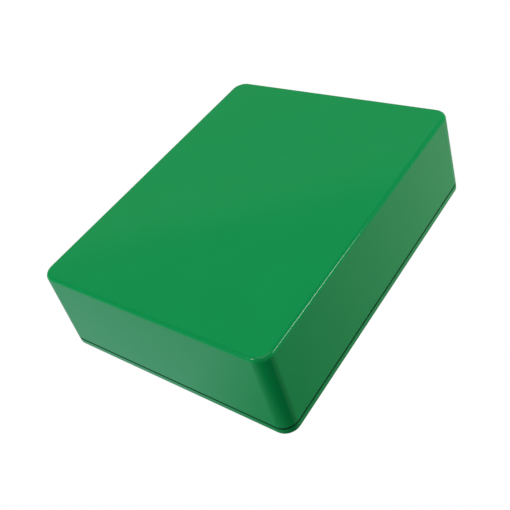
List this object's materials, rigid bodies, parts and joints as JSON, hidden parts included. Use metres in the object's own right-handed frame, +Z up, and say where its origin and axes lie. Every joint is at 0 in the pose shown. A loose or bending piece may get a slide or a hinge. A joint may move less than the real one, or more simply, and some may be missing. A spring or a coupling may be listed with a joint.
{
  "type": "die-cast enclosure",
  "caption": "Green powder-coated die-cast box with tapered walls and rounded corners, hollow inside, closed from below by a flat lid with countersunk corner screws.",
  "frame": {"origin": "centre of the lid's underside, which rests on the table", "axes": "+X along the length, +Y along the width, +Z up through the top of the casting"},
  "size_m": [0.1194, 0.094, 0.033],
  "materials": {
    "casting_green_powder_coat": "gloss",
    "lid_green_powder_coat": "gloss",
    "screw_zinc_plated_steel": "satin"
  },
  "bodies": {
    "lid": {"base_lid": "lid_green_powder_coat"},
    "casting": {"box_casting": "casting_green_powder_coat"},
    "screw_front_left": {"lid_screw_front_left": "screw_zinc_plated_steel"},
    "screw_front_right": {"lid_screw_front_right": "screw_zinc_plated_steel"},
    "screw_back_left": {"lid_screw_back_left": "screw_zinc_plated_steel"},
    "screw_back_right": {"lid_screw_back_right": "screw_zinc_plated_steel"}
  },
  "joints": [
    {"name": "casting_lift", "type": "slide", "parent": "lid", "child": "casting", "axis": [0, 0, 1], "range_m": [0, 0.05]},
    {"name": "screw_front_left_withdraw", "type": "slide", "parent": "lid", "child": "screw_front_left", "axis": [0, 0, -1], "range_m": [0, 0.014]},
    {"name": "screw_front_right_withdraw", "type": "slide", "parent": "lid", "child": "screw_front_right", "axis": [0, 0, -1], "range_m": [0, 0.014]},
    {"name": "screw_back_left_withdraw", "type": "slide", "parent": "lid", "child": "screw_back_left", "axis": [0, 0, -1], "range_m": [0, 0.014]},
    {"name": "screw_back_right_withdraw", "type": "slide", "parent": "lid", "child": "screw_back_right", "axis": [0, 0, -1], "range_m": [0, 0.014]}
  ]
}
